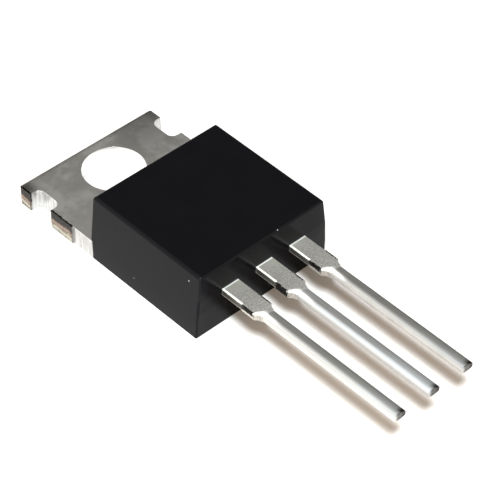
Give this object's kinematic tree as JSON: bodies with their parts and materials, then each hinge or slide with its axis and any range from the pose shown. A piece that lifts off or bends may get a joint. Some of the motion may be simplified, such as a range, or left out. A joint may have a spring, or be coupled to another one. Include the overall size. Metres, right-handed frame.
{
  "type": "voltage regulator",
  "caption": "Through-hole power regulator: flat epoxy body on a plated heat-sink tab with a screw hole, and straight leads in a row.",
  "frame": {"origin": "centre of the mounting hole at the back face of the heat sink", "axes": "+Y to the free end of the tab, -Y to the lead tips, +X to the input lead, +Z from the back face to the marked face"},
  "size_m": [0.01, 0.0286, 0.0045],
  "materials": {
    "epoxy": "moulded epoxy, semi-matt black",
    "tinned_copper": "matt tin plate over copper, bare copper where sheared",
    "silicon": "polished silicon",
    "solder": "soft solder",
    "bond_wire": "drawn wire"
  },
  "bodies": {
    "root": {"epoxy_body": "epoxy", "heat_sink_and_output_lead": "tinned_copper", "adjust_lead": "tinned_copper", "input_lead": "tinned_copper", "silicon_die": "silicon", "die_solder": "solder", "adjust_bond_wire": "bond_wire", "output_bond_wire": "bond_wire", "input_bond_wire": "bond_wire"}
  },
  "joints": []
}
